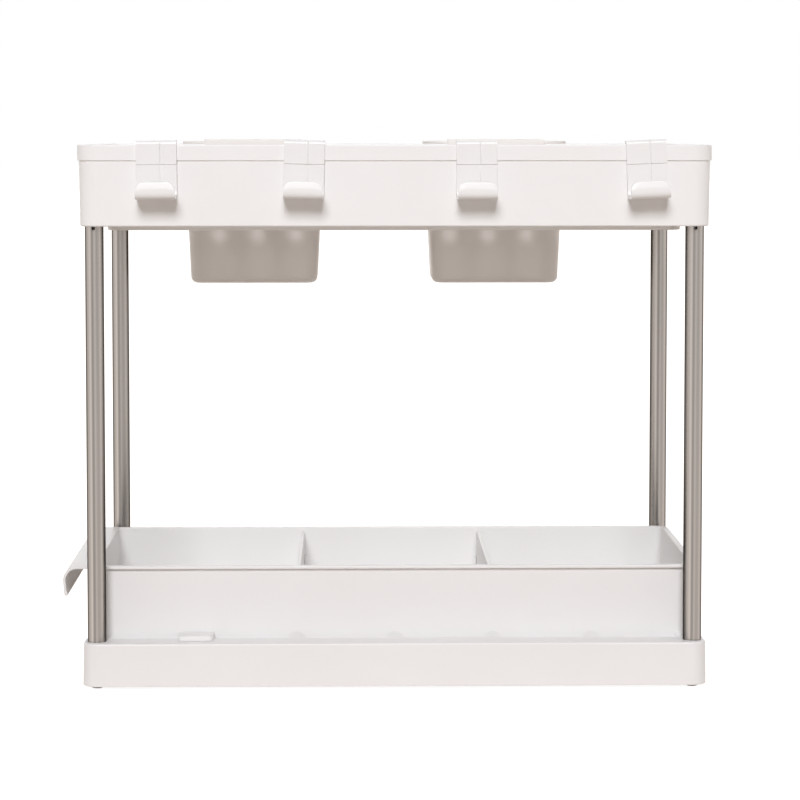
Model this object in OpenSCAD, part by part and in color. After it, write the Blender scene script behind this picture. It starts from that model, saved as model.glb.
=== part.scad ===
// Two-tier cabinet organiser with a pull-out drawer.
// A drained tray stands on four steel tubes over a base whose channel carries a sliding drawer.
// Hooks clip on the front rim of the tray, and two cups hang on its back rim.
// X runs along the drawer's travel, Y from front to back and Z up from the floor.
// The origin lies on the floor, under the middle of the outer box.

/* [Base] */
// Length of the base at its foot
base_len = 404.2; // [390:0.1:460]
// Width of the base at its foot
base_wid = 223; // [215:0.5:260]
// Height of the base shell, without its feet
base_h = 27.9; // [25:0.5:45]
// Wall of the base
base_wall = 2.4; // [1.8:0.1:3]
// Plate that forms the top of the base
deck_t = 2.6; // [2:0.1:3.2]
// Corner radius of the base, seen from above
base_corner = 10; // [8:0.5:14]
// Amount by which each wall leans in towards the top
base_draft = 0.6; // [0.2:0.1:0.8]
// Rounding of the top edge
base_edge = 0.8; // [0.3:0.1:1]
// Thickness of the strengthening ribs under the deck
rib_t = 1.8; // [1.2:0.1:3]
// Distance of the rib edges above the foot of the base
rib_lift = 4; // [2:0.5:8]
// Distance between two strengthening ribs
rib_pitch = 66; // [40:1:100]

/* [Feet] */
// Diameter of a foot pad
foot_d = 8.2; // [6:0.1:10]
// Thickness of a foot pad
foot_h = 2.4; // [1.5:0.1:4]
// Diameter of the peg that holds a foot pad
foot_peg_d = 4; // [3:0.1:5]
// Length of that peg
foot_peg_h = 3.5; // [2:0.1:5]

/* [Legs] */
// Outer diameter of a leg tube
leg_d = 12; // [10:0.1:12.4]
// Wall of a leg tube
leg_wall = 0.8; // [0.5:0.05:1.2]
// Distance of a leg's centre from the end of the base
leg_inset_x = 9; // [8:0.1:12]
// Distance of a leg's centre from the front or back of the base
leg_inset_y = 11.5; // [9:0.1:14]
// Clear height between the base and the tray
tier_gap = 269; // [200:1:400]
// Depth of a leg in the base
leg_in_base = 18; // [12:0.5:19]
// Depth of a leg in the tray
leg_in_tray = 22; // [14:0.5:30]
// Radial clearance of a leg in its sockets
leg_fit = 0.08; // [0.04:0.01:0.1]
// Wall of a leg socket
socket_wall = 2.4; // [1.6:0.1:2.8]
// Width of the key slot in the upper end of a leg
slot_w = 2.2; // [1.6:0.1:3]
// Length of the key slot below the tray
slot_show = 2; // [0.5:0.1:4]
// Clearance on each side of the key
key_fit = 0.2; // [0.1:0.05:0.3]

/* [Top tray] */
// Amount by which the tray is longer than the base at each end
tray_over_x = 0.5; // [0:0.1:10]
// Amount by which the tray is wider than the base at the front and back
tray_over_y = 2.5; // [1:0.1:10]
// Height of the tray
tray_h = 52.1; // [45:0.5:90]
// Wall of the tray
tray_wall = 2.4; // [1.8:0.1:3]
// Floor of the tray
tray_floor = 2.4; // [1.8:0.1:3]
// Corner radius of the tray, seen from above
tray_corner = 12; // [11:0.5:16]
// Amount by which each wall leans in towards the bottom
tray_draft = 0.8; // [0.2:0.1:1]
// Rounding between the wall and the floor, outside
tray_round = 1.5; // [1:0.5:5]
// Height of the band round the rim
band_h = 10; // [6:0.5:14]
// Amount by which the band stands out
band_out = 0.8; // [0.6:0.1:2]
// Diameter of a drain hole
drain_d = 10; // [4:0.5:12]
// Distance between drain holes
drain_pitch = 27.8; // [24:0.1:40]
// Height of the ring under the tray
ring_h = 3.1; // [1:0.1:5]
// Thickness of the ring
ring_t = 2.4; // [1.6:0.1:4]
// Gap between the ring and the legs along the tray
ring_gap_x = 1.1; // [0.5:0.1:6]
// Gap between the ring and the legs across the tray
ring_gap_y = 4; // [1:0.1:8]

/* [Drawer] */
// Distance from the end of the base to the drawer body
drawer_inset = 6.1; // [4.6:0.1:12]
// Gap between the drawer's rim and the legs
drawer_leg_gap = 4.15; // [2:0.05:12]
// Height of the drawer
drawer_h = 50.4; // [40:0.5:120]
// Wall of the drawer
drawer_wall = 2; // [1.5:0.1:3]
// Floor of the drawer
drawer_floor = 2; // [1.5:0.1:3]
// Height of the floor's underside above the drawer's foot
floor_lift = 1.5; // [0.5:0.1:3]
// Corner radius of the drawer, seen from above
drawer_corner = 7; // [6:0.5:9]
// Amount by which each wall leans in towards the bottom
drawer_draft = 1.2; // [0.4:0.1:1.8]
// Rounding between the wall and the foot, outside
drawer_round = 2.5; // [1:0.1:3.5]
// Thickness of the rim flange
rim_t = 2; // [1.5:0.1:3]
// Amount by which the rim flange stands out
rim_out = 2.6; // [1.5:0.1:3.5]
// Distance of the drawer's stop block from the right end of its foot
stop_inset = 4.7; // [0:0.1:10]
// Length of the drawer's stop block
stop_len = 6; // [4:0.5:8]
// Height of the stop block above the runner flange
stop_h = 3; // [2:0.1:4]
// Thickness of the runner flange along the drawer's foot
runner_t = 2; // [1.5:0.1:3]
// Amount by which the runner flange stands out
runner_out = 3.6; // [2.5:0.1:4.2]
// Side clearance of the runner flange in the channel
runner_gap = 0.4; // [0.2:0.1:0.8]
// Clearance between the drawer and the closed end of the channel
end_gap = 0.5; // [0.3:0.1:1]
// Height from the runner flange up to the deck
runner_drop = 1.2; // [0.5:0.1:2]
// Radius of the pull handle's curl
curl_r = 9.2; // [8:0.1:14]
// Thickness of the handle
curl_t = 1.8; // [1.6:0.1:3]
// Flat length of rim ahead of the curl
curl_lead = 10.9; // [3:0.1:15]
// Angle that the curl turns through
curl_turn = 95; // [90:1:150]
// Straight length below the curl
curl_drop = 8.5; // [2:0.1:12]
// Radius of a scoop at the foot of the drawer's side
scoop_r = 6.1; // [4:0.1:9]
// Height of a scoop above the deck
scoop_h = 3.4; // [2:0.1:5]
// Angle at which a scoop leads into the wall
scoop_lean = 15; // [5:1:20]
// Distance between two scoops
scoop_pitch = 64; // [40:1:80]

/* [Dividers] */
// Thickness of a divider
divider_t = 2; // [1.5:0.1:3]
// Distance between the two dividers
divider_span = 125; // [80:1:200]
// Distance of a divider's top below the rim
divider_drop = 2.5; // [1:0.1:10]
// Clearance on each side of a divider
divider_fit = 0.2; // [0.1:0.05:0.4]
// Thickness of a guide rib
guide_t = 1.6; // [1:0.1:3]
// Amount by which a guide rib stands out
guide_out = 2; // [1.5:0.1:4]
// Distance from the rim down to the top of a guide rib
guide_drop = 20; // [8:0.5:30]

/* [Hold-down clips] */
// Length of a clip along the drawer
clip_len = 23; // [16:0.5:30]
// Thickness of a clip
clip_t = 3.3; // [2:0.1:5]
// Gap between a clip and the drawer's side
clip_gap = 0.8; // [0.5:0.1:1.2]
// Length of a clip's seat on the deck beyond the channel
clip_seat = 11.9; // [8:0.1:12]
// Distance of the clips from the left end of the base
clip_inset = 72.7; // [40:0.1:120]
// Diameter of a clip's peg
clip_peg_d = 4; // [3:0.1:5]
// Length of a clip's peg
clip_peg_h = 8; // [5:0.1:10]
// Radial clearance of the pegs in their holes
peg_fit = 0.06; // [0.03:0.01:0.1]

/* [Hooks] */
// Width of a hook
hook_w = 26.3; // [16:0.1:34]
// Thickness of the clip part that grips the rim
grip_t = 1.8; // [1.4:0.1:3]
// Height of the bridge over the rim
bridge_t = 2.7; // [2:0.1:4]
// Depth of the grip inside the tray
grip_in = 11; // [8:0.5:14]
// Height of the catch under the rim band
catch_h = 1.2; // [1:0.1:3]
// Thickness of the hook plate
plate_t = 2; // [1.6:0.1:3]
// Distance from the rim down to the hook's lowest edge
hook_drop = 34.8; // [30:0.1:46]
// Amount by which the hook's lip stands out from the plate
lip_out = 18.5; // [10:0.5:24]
// Height of the lip
lip_h = 11.2; // [9:0.1:16]
// Thickness of the lip
lip_t = 2.6; // [2:0.1:4]
// Rounding of the lip's upper corners
lip_round = 6; // [2:0.5:6]
// Inner radius of the bends at the foot of a hook
hook_bend = 2; // [1:0.1:3]
// Chamfer of a hook's upper edges
hook_edge = 0.8; // [0.3:0.1:0.8]
// Clearance of the hook from the rim
hook_fit = 0.3; // [0.2:0.05:0.5]
// Width of the moulded groove down a hook
groove_w = 0.6; // [0.4:0.1:1]
// Distance of the groove to the right of the hook's middle
groove_aside = 2.4; // [0:0.1:6]
// Distance of the first hook's middle from the left end of the tray
hook_left_end = 50.5; // [40:0.1:60]
// Distance of the last hook's middle from the right end of the tray
hook_right_end = 42.7; // [40:0.1:60]
// Distance of the second hook's middle from the middle of the tray
hook_left_mid = 57.8; // [30:0.1:70]
// Distance of the third hook's middle from the middle of the tray
hook_right_mid = 51.8; // [30:0.1:70]

/* [Cups] */
// Width of a cup at its rim
cup_wid = 103; // [80:0.1:130]
// Depth of a cup at its rim, from front to back
cup_deep = 70; // [50:0.5:100]
// Height of a cup
cup_h = 102.8; // [60:0.1:160]
// Wall of a cup
cup_wall = 1.8; // [1.4:0.1:3]
// Amount by which each wall leans in towards the bottom
cup_draft = 4.9; // [1:0.1:6]
// Corner radius of a cup at its rim
cup_corner = 14; // [13.5:0.5:20]
// Rounding between the wall and the floor, outside
cup_round = 4.5; // [3:0.5:5]
// Amount by which the cup's rim stands out
cup_rim_out = 0.9; // [0.5:0.1:2]
// Height of the cup's rim
cup_rim_h = 2; // [1:0.1:4]
// Width of the hanger that goes over the tray's rim
hanger_w = 69.6; // [40:0.1:76]
// Thickness of the hanger over the tray's rim
hanger_t = 3.2; // [2.4:0.1:4]
// Height of the hanger's top above the cup's rim
hanger_step = 1.3; // [0.4:0.1:2]
// Depth of the hanger inside the tray
hanger_in = 12; // [6:0.5:20]
// Clearance between the hanger and the tray
hanger_fit = 0.4; // [0.2:0.05:0.8]
// Distance of the left cup's middle from the left end of the tray
cup_left_end = 104.4; // [80:0.1:120]
// Distance of the right cup's middle from the right end of the tray
cup_right_end = 126.1; // [80:0.1:130]

/* [Hidden] */

// Round parts are drawn with this many sides
$fn = 64;
// Steps along a rounded edge in a swept outline
arc_steps = 6;
// Overlap that joins two parts of one piece, or carries a cut past its face
over = 1;

WHITE = [0.94, 0.935, 0.93];
STEEL = [0.62, 0.6, 0.57];
PAD = [0.8, 0.79, 0.78];

// Angle by which each hook hangs askew, from left to right
hook_lean = [-0.4, 1.5, -0.3, -2.4];
// Angle of the rim at which the handle's curl begins
curl_from = 90;

// Heights
deck_z = foot_h + base_h;
tray_z = deck_z + tier_gap;
tray_rim_z = tray_z + tray_h;
channel_deep = runner_t + runner_drop;
drawer_z = deck_z - channel_deep;
drawer_rim_z = drawer_z + drawer_h;
drawer_floor_z = drawer_z + floor_lift + drawer_floor;
divider_z = drawer_rim_z - divider_drop;
guide_z = drawer_rim_z - guide_drop;

// Base and channel
deck_len = base_len - 2 * base_draft;
deck_wid = base_wid - 2 * base_draft;
leg_span_x = base_len - 2 * leg_inset_x;
leg_span_y = base_wid - 2 * leg_inset_y;
tray_len = base_len + 2 * tray_over_x;
tray_wid = base_wid + 2 * tray_over_y;
ring_len = leg_span_x - leg_d - 2 * ring_gap_x;
ring_wid = leg_span_y - leg_d - 2 * ring_gap_y;
drawer_len = base_len - 2 * drawer_inset;
drawer_wid = leg_span_y - leg_d - 2 * (drawer_leg_gap + rim_out);
foot_wid = drawer_wid - 2 * drawer_draft;
foot_len = drawer_len - 2 * drawer_draft;
channel_wid = foot_wid + 2 * runner_out + 2 * runner_gap;
channel_end = foot_len / 2 + end_gap;
socket_d = leg_d + 2 * leg_fit;
post_d = socket_d + 2 * socket_wall;
leg_x = leg_span_x / 2;
leg_y = leg_span_y / 2;
leg_len = leg_in_base + tier_gap + leg_in_tray;
key_t = leg_wall + leg_fit + over / 2;
key_y = leg_y + socket_d / 2 + over / 2 - key_t / 2;

// Clips
clip_rise = drawer_draft * (channel_deep + clip_t) / drawer_h;
clip_y = channel_wid / 2 + clip_seat;
clip_wid = clip_y - (foot_wid / 2 + clip_rise + clip_gap);
clip_peg_y = channel_wid / 2 + clip_seat / 2;
clip_x = base_len / 2 - clip_inset;
stop_x = foot_len / 2 - stop_inset - stop_len;

// Rims, and the places of what hangs on them
hook_x = [hook_left_end - tray_len / 2, -hook_left_mid, hook_right_mid, tray_len / 2 - hook_right_end];
cup_x = [cup_left_end - tray_len / 2, tray_len / 2 - cup_right_end];
band_y = tray_wid / 2 + band_out;
tray_in_y = tray_wid / 2 - tray_wall;
hook_rise = hook_w / 2 * sin(max([for (a = hook_lean) abs(a)]));
catch_gap = 2 * hook_rise + hook_fit;
catch_z = -band_h - catch_gap;
hook_y = band_y + hook_fit + grip_t;
plate_y = tray_wid / 2 + hook_fit + plate_t;
cup_y = band_y + hanger_fit + cup_deep / 2;
cup_rim_z = tray_rim_z + hanger_t - hanger_step;

// Outer box, for the origin
box_left = max(drawer_len / 2 + curl_lead + curl_r, tray_len / 2 + band_out, base_len / 2);
box_right = max(tray_len / 2 + band_out, base_len / 2, drawer_len / 2 + rim_out);
box_front = plate_y + lip_out;
box_back = cup_y + cup_deep / 2;

// Points along an arc round (cx, cy), from angle a0 to angle a1
function arc(cx, cy, r, a0, a1) =
    [for (i = [0:arc_steps]) let (a = a0 + (a1 - a0) * i / arc_steps) [cx + r * cos(a), cy + r * sin(a)]];

// Moves the children so that the origin lies under the middle of the outer box
module placed() {
    translate([(box_left - box_right) / 2, (box_front - box_back) / 2, 0]) children();
}

// Sweeps the 2-D child round a rounded rectangle.
// The child's x counts outwards from the corner centres, and its y is the height.
module round_frame(len, wid, corner) {
    hx = len / 2 - corner;
    hy = wid / 2 - corner;
    for (turn = [0, 180]) rotate([0, 0, turn]) {
        translate([hx, hy, 0]) rotate_extrude(angle = 90) children();
        translate([hx, hy, 0]) rotate([90, 0, 0]) linear_extrude(2 * hy) children();
        translate([-hx, hy, 0]) rotate([0, 0, 90]) {
            rotate_extrude(angle = 90) children();
            rotate([90, 0, 0]) linear_extrude(2 * hx) children();
        }
    }
}

// Rounded rectangle seen from above
module round_plate(len, wid, corner, thick) {
    linear_extrude(thick) union() {
        square([len - 2 * corner, wid], center = true);
        square([len, wid - 2 * corner], center = true);
        for (sx = [-1, 1], sy = [-1, 1])
            translate([sx * (len / 2 - corner), sy * (wid / 2 - corner)]) circle(corner);
    }
}

// Open box with leaning walls and rounded lower edges. The rim band, if any, stands out by rim.
module open_box(len, wid, high, wall, floor_t, corner, draft, round_r, rim, rim_h) {
    low = corner - draft;
    in_r = max(round_r - wall, 0.5);
    lip = min(0.8, wall / 3);
    rim_x = corner - draft * rim_h / high;
    round_frame(len, wid, corner) polygon(concat(
        [[0, 0]],
        arc(low - round_r, round_r, round_r, -90, 0),
        [[rim_x, high - rim_h], [corner + rim, high - rim_h]],
        arc(corner + rim - lip, high - lip, lip, 0, 90),
        arc(corner - wall + lip, high - lip, lip, 90, 180),
        arc(low - wall - in_r, floor_t + in_r, in_r, 0, -90),
        [[0, floor_t]]
    ));
    translate([-len / 2 + corner - over / 2, -wid / 2 + corner - over / 2, 0])
        cube([len - 2 * corner + over, wid - 2 * corner + over, floor_t]);
}

module leg_places() {
    for (sx = [-1, 1], sy = [-1, 1]) translate([sx * leg_x, sy * leg_y, 0]) children();
}

// Base: an open-bottomed shell with leg sockets and the drawer's channel
module base_shell() {
    top = base_corner - base_draft;
    round_frame(base_len, base_wid, base_corner) polygon(concat(
        [[0, base_h - deck_t], [top - base_wall, base_h - deck_t], [base_corner - base_wall, 0]],
        [[base_corner - base_edge, 0], [base_corner, base_edge]],
        arc(top - base_edge, base_h - base_edge, base_edge, 0, 90),
        [[0, base_h]]
    ));
    translate([0, 0, base_h - deck_t / 2])
        cube([base_len - 2 * base_corner + over, base_wid - 2 * base_corner + over, deck_t], center = true);
}

// Inner outline of the base wall, for what is joined to it
module base_core(low, high) {
    translate([0, 0, low])
        round_plate(deck_len - base_wall, deck_wid - base_wall, base_corner - base_draft, high - low);
}

module base_ribs() {
    pan_z = base_h - channel_deep - deck_t;
    rib_high = pan_z - rib_lift + over;
    count = floor((deck_len / 2 - post_d) / rib_pitch);
    intersection() {
        base_core(rib_lift, pan_z + over);
        for (i = [-count:count])
            translate([i * rib_pitch - rib_t / 2, -base_wid / 2, rib_lift]) cube([rib_t, base_wid, rib_high]);
    }
}

module base_tray() placed() color(WHITE) translate([0, 0, foot_h]) difference() {
    union() {
        base_shell();
        // Pan under the channel
        intersection() {
            base_core(0, base_h - over / 2);
            translate([-base_len / 2, -channel_wid / 2 - base_wall, base_h - channel_deep - deck_t])
                cube([base_len, channel_wid + 2 * base_wall, channel_deep + deck_t - over / 2]);
        }
        base_ribs();
        // Leg sockets
        intersection() {
            base_core(0, base_h - over / 2);
            leg_places() cylinder(d = post_d, h = base_h);
        }
        // Peg bosses of the clips
        for (sy = [-1, 1])
            translate([-clip_x, sy * clip_peg_y, base_h - clip_peg_h - deck_t])
                cylinder(d = clip_peg_d + 2 * socket_wall, h = clip_peg_h + deck_t / 2);
    }
    // Channel, open at the left end
    translate([-base_len / 2 - over, -channel_wid / 2, base_h - channel_deep])
        cube([base_len / 2 + over + channel_end, channel_wid, channel_deep + over]);
    leg_places() translate([0, 0, base_h - leg_in_base]) cylinder(d = socket_d, h = leg_in_base + over);
    leg_places() translate([0, 0, -over]) cylinder(d = foot_peg_d + 2 * peg_fit, h = foot_peg_h + over);
    for (sy = [-1, 1])
        translate([-clip_x, sy * clip_peg_y, base_h - clip_peg_h])
            cylinder(d = clip_peg_d + 2 * peg_fit, h = clip_peg_h + over);
}

// Foot pad with its peg
module foot(sx, sy) placed() color(PAD) translate([sx * leg_x, sy * leg_y, 0]) {
    edge = foot_h / 4;
    r = foot_d / 2;
    rotate_extrude() polygon([[0, 0], [r - edge, 0], [r, edge], [r, foot_h], [0, foot_h]]);
    cylinder(d = foot_peg_d, h = foot_h + foot_peg_h);
}
module foot_front_left() foot(-1, -1);
module foot_front_right() foot(1, -1);
module foot_back_left() foot(-1, 1);
module foot_back_right() foot(1, 1);

// Leg tube, with a key slot on the side that faces out
module leg(sx, sy) placed() color(STEEL) translate([sx * leg_x, sy * leg_y, deck_z - leg_in_base])
    difference() {
        cylinder(d = leg_d, h = leg_len);
        translate([0, 0, -over]) cylinder(d = leg_d - 2 * leg_wall, h = leg_len + 2 * over);
        translate([-slot_w / 2, sy > 0 ? 0 : -leg_d, leg_len - leg_in_tray - slot_show])
            cube([slot_w, leg_d, leg_in_tray + slot_show + over]);
    }
module leg_front_left() leg(-1, -1);
module leg_front_right() leg(1, -1);
module leg_back_left() leg(-1, 1);
module leg_back_right() leg(1, 1);

// Drain holes that keep clear of the ring and of the sockets
module drain_holes() {
    nx = floor((ring_len / 2 - ring_t - drain_d / 2 - over) / drain_pitch + 0.5);
    ny = floor((ring_wid / 2 - ring_t - drain_d / 2 - over) / drain_pitch + 0.5);
    out_y = (ny + 0.5) * drain_pitch;
    clear_of_ring = out_y - drain_d / 2 > ring_wid / 2 + over;
    clear_of_wall = out_y + drain_d / 2 < tray_in_y - tray_round;
    rows = clear_of_ring && clear_of_wall ? ny + 1 : ny;
    for (i = [0:nx - 1], j = [0:rows - 1], sx = [-1, 1], sy = [-1, 1])
        translate([sx * (i + 0.5) * drain_pitch, sy * (j + 0.5) * drain_pitch, -over])
            cylinder(d = drain_d, h = tray_floor + 2 * over, $fn = 32);
}

// Ring under the tray, between the legs
module ring() {
    corner = tray_corner - ring_t;
    difference() {
        translate([0, 0, -ring_h]) round_plate(ring_len, ring_wid, corner, ring_h + over);
        translate([0, 0, -ring_h - over])
            round_plate(ring_len - 2 * ring_t, ring_wid - 2 * ring_t, corner - ring_t, ring_h + 3 * over);
    }
}

// Tray: an open box with a rim band, sockets in its corners and a ring underneath
module top_tray() placed() color(WHITE) translate([0, 0, tray_z]) {
    socket_top = leg_in_tray + tray_floor;
    difference() {
        union() {
            open_box(tray_len, tray_wid, tray_h, tray_wall, tray_floor, tray_corner, tray_draft,
                tray_round, band_out, band_h);
            // Sockets, joined to the corner of the walls
            intersection() {
                translate([0, 0, tray_floor / 2]) round_plate(tray_len - 2 * tray_draft - tray_wall,
                    tray_wid - 2 * tray_draft - tray_wall, tray_corner - tray_draft, socket_top);
                for (sx = [-1, 1], sy = [-1, 1]) translate([sx * leg_x, sy * leg_y, 0]) {
                    cylinder(d = post_d, h = socket_top);
                    translate([sx > 0 ? 0 : -post_d, -post_d / 2, 0]) cube([post_d, post_d, socket_top]);
                    translate([-post_d / 2, sy > 0 ? 0 : -post_d, 0]) cube([post_d, post_d, socket_top]);
                }
            }
            ring();
        }
        leg_places() translate([0, 0, -over]) cylinder(d = socket_d, h = leg_in_tray + over);
        drain_holes();
    }
    // Keys that stand in the slots of the legs
    for (sx = [-1, 1], sy = [-1, 1])
        translate([sx * leg_x - slot_w / 2 + key_fit, sy * key_y - key_t / 2, 0])
            cube([slot_w - 2 * key_fit, key_t, leg_in_tray + over / 2]);
}

// Hold-down clip: it lies on the deck and reaches over the drawer's runner flange
module clip(sy) placed() color(WHITE) translate([-clip_x, 0, deck_z]) mirror([0, sy > 0 ? 1 : 0, 0]) {
    corner = clip_t;
    difference() {
        translate([-clip_len / 2, -clip_y, 0]) cube([clip_len, clip_wid, clip_t]);
        for (sx = [-1, 1]) translate([sx * (clip_len / 2 - corner), -clip_y + corner, -over]) difference() {
            translate([sx > 0 ? 0 : -corner - over, -corner - over, 0])
                cube([corner + over, corner + over, clip_t + 2 * over]);
            cylinder(r = corner, h = clip_t + 2 * over);
        }
    }
    translate([0, -clip_peg_y, -clip_peg_h]) cylinder(d = clip_peg_d, h = clip_peg_h + over);
}
module clip_front() clip(-1);
module clip_back() clip(1);

// Pull handle: the left rim goes on at full width, curls down and ends in a straight lip
module handle() {
    full_wid = drawer_wid + 2 * rim_out;
    mid_x = -drawer_len / 2 - curl_lead;
    mid_z = drawer_h - curl_r;
    start_x = -drawer_len / 2 + drawer_corner;
    tip = curl_from + curl_turn;
    drop = curl_drop * [-sin(tip), cos(tip)];
    difference() {
        translate([0, full_wid / 2, 0]) rotate([90, 0, 0]) linear_extrude(full_wid) polygon(concat(
            [[start_x, drawer_h - rim_t], [start_x, drawer_h]],
            arc(mid_x, mid_z, curl_r, curl_from, tip),
            [for (r = [curl_r, curl_r - curl_t]) [mid_x, mid_z] + r * [cos(tip), sin(tip)] + drop],
            arc(mid_x, mid_z, curl_r - curl_t, tip, curl_from)
        ));
        // The drawer's mouth stays open
        translate([0, 0, drawer_h - curl_r]) round_plate(drawer_len - drawer_wall, drawer_wid - drawer_wall,
            drawer_corner - drawer_wall / 2, curl_r + over);
    }
}

// Pair of guide ribs that hold a divider upright against one wall
module guide_ribs() {
    slot = divider_t + 2 * divider_fit;
    mid_y = foot_wid / 2 - drawer_wall - guide_out / 2 + over / 2;
    low = floor_lift + drawer_floor / 2;
    high = drawer_h - guide_drop - low;
    for (x = [-divider_span / 2, divider_span / 2], side = [-1, 1], sy = [-1, 1])
        translate([x + side * (slot + guide_t) / 2, sy * mid_y, low + high / 2])
            cube([guide_t, guide_out + over, high], center = true);
}

// Shallow half-round scoops outside at the foot of both long walls, deepest at their lower edge
module foot_scoops() {
    crown_z = channel_deep + scoop_h;
    crown_y = foot_wid / 2 + drawer_draft * crown_z / drawer_h;
    fall = crown_z - runner_t / 2;
    count = floor((foot_len / 2 - stop_len - 2 * scoop_r) / scoop_pitch);
    for (i = [-count:count], turn = [0, 1]) mirror([0, turn, 0])
        translate([i * scoop_pitch, crown_y, crown_z]) rotate([-90 - scoop_lean, 0, 0])
            linear_extrude(runner_out) intersection() {
                translate([0, scoop_r]) circle(scoop_r);
                translate([-scoop_r, -over]) square([2 * scoop_r, fall + over]);
            }
}

// Drawer: an open box with a rim flange, a handle, runner flanges and stops
module drawer() placed() color(WHITE) translate([0, 0, drawer_z]) {
    skid = drawer_wall + drawer_round;
    difference() {
        union() {
            open_box(drawer_len, drawer_wid, drawer_h, drawer_wall, floor_lift + drawer_floor,
                drawer_corner, drawer_draft, drawer_round, rim_out, rim_t);
            guide_ribs();
        }
        foot_scoops();
        // Hollow under the floor, so that the drawer slides on the foot of its walls
        translate([-foot_len / 2 + skid, -foot_wid / 2 + skid, -over])
            cube([foot_len - 2 * skid, foot_wid - 2 * skid, floor_lift + over]);
    }
    handle();
    for (turn = [0, 1]) mirror([0, turn, 0]) translate([0, foot_wid / 2 - drawer_wall, 0]) {
        translate([-foot_len / 2 + drawer_corner, 0, 0])
            cube([foot_len - 2 * drawer_corner, runner_out + drawer_wall, runner_t]);
        translate([stop_x, 0, 0]) cube([stop_len, runner_out + drawer_wall, runner_t + stop_h]);
    }
}

// Divider: an upright plate that follows the lean of the drawer's walls
module divider(side) placed() color(WHITE)
    translate([side * divider_span / 2 - divider_t / 2, 0, 0]) rotate([90, 0, 90]) linear_extrude(divider_t) {
        low_y = foot_wid / 2 - drawer_wall - divider_fit;
        top_y = low_y + drawer_draft * (divider_z - drawer_z) / drawer_h;
        cut = drawer_wall + over;
        polygon([
            [-low_y + cut, drawer_floor_z], [low_y - cut, drawer_floor_z], [low_y, drawer_floor_z + cut],
            [top_y, divider_z - cut / 2], [top_y - cut / 2, divider_z],
            [-top_y + cut / 2, divider_z], [-top_y, divider_z - cut / 2], [-low_y, drawer_floor_z + cut]
        ]);
    }
module divider_left() divider(-1);
module divider_right() divider(1);

// Side outline of a hook. The x of the outline counts outwards from the middle of the tray.
module hook_outline() {
    top = bridge_t;
    in_y = tray_in_y - hook_fit;
    bottom = -hook_drop;
    lip_y = plate_y + lip_out;
    lip_top = bottom + lip_h;
    bend = lip_t + hook_bend;
    back_y = in_y - grip_t;
    polygon(concat(
        [[in_y, 0], [in_y, -grip_in], [back_y, -grip_in]],
        [[back_y, top - hook_edge], [back_y + hook_edge, top]],
        [[hook_y - hook_edge, top], [hook_y, top - hook_edge], [hook_y, catch_z - catch_h]],
        [[plate_y, catch_z - catch_h]],
        arc(plate_y + hook_bend, bottom + bend, hook_bend, 180, 270),
        arc(lip_y - bend, bottom + bend, hook_bend, 270, 360),
        [[lip_y - lip_t, lip_top - hook_edge], [lip_y - lip_t + hook_edge, lip_top]],
        [[lip_y - hook_edge, lip_top], [lip_y, lip_top - hook_edge]],
        arc(lip_y - bend, bottom + bend, bend, 0, -90),
        arc(plate_y - plate_t + bend, bottom + bend, bend, 270, 180),
        [[plate_y - plate_t, catch_z], [band_y + hook_fit, catch_z], [band_y + hook_fit, 0]]
    ));
}

// Hook: it grips the rim band, and its lip stands in front of the tray
module hook(i) placed() color(WHITE)
    translate([hook_x[i], 0, tray_rim_z + hook_w / 2 * sin(abs(hook_lean[i]))])
    rotate([0, hook_lean[i], 0]) difference() {
        translate([-hook_w / 2, 0, 0]) rotate([90, 0, 90]) mirror([1, 0, 0])
            linear_extrude(hook_w) hook_outline();
        // Rounded upper corners of the lip
        for (sx = [-1, 1])
            translate([sx * (hook_w / 2 - lip_round), -plate_y - lip_out / 2, lip_h - hook_drop - lip_round])
                rotate([90, 0, 0]) difference() {
                    translate([sx > 0 ? 0 : -lip_round - over, 0, 0])
                        cube([lip_round + over, lip_round + over, lip_out]);
                    translate([0, 0, -over]) cylinder(r = lip_round, h = lip_out + 2 * over);
                }
        // Moulded groove down the front
        translate([groove_aside - groove_w / 2, -hook_y - over, catch_z - catch_h - over])
            cube([groove_w, over + groove_w, bridge_t - catch_z + catch_h + 2 * over]);
    }
module hook_1() hook(0);
module hook_2() hook(1);
module hook_3() hook(2);
module hook_4() hook(3);

// Cup: a leaning open box that hangs on the tray's back rim
module cup(i) placed() color(WHITE) translate([cup_x[i], 0, 0]) {
    body_wid = cup_wid - 2 * cup_rim_out;
    body_deep = cup_deep - 2 * cup_rim_out;
    translate([0, cup_y, cup_rim_z - cup_h])
        open_box(body_wid, body_deep, cup_h, cup_wall, cup_wall, cup_corner, cup_draft, cup_round,
            cup_rim_out, cup_rim_h);
    top = tray_rim_z + hanger_t;
    in_y = tray_in_y - hanger_fit;
    out_y = cup_y - body_deep / 2 + cup_wall;
    back_y = in_y - cup_wall;
    edge = cup_wall / 3;
    translate([-hanger_w / 2, 0, 0]) rotate([90, 0, 90]) linear_extrude(hanger_w) polygon([
        [in_y, tray_rim_z], [in_y, tray_rim_z - hanger_in], [back_y, tray_rim_z - hanger_in],
        [back_y, top - edge], [back_y + edge, top], [out_y - edge, top], [out_y, top - edge],
        [out_y, tray_rim_z], [out_y - cup_wall / 2, tray_rim_z - cup_rim_h], [out_y - cup_wall, tray_rim_z]
    ]);
}
module cup_left() cup(0);
module cup_right() cup(1);

base_tray();
foot_front_left();
foot_front_right();
foot_back_left();
foot_back_right();
leg_front_left();
leg_front_right();
leg_back_left();
leg_back_right();
top_tray();
clip_front();
clip_back();
drawer();
divider_left();
divider_right();
hook_1();
hook_2();
hook_3();
hook_4();
cup_left();
cup_right();
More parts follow.
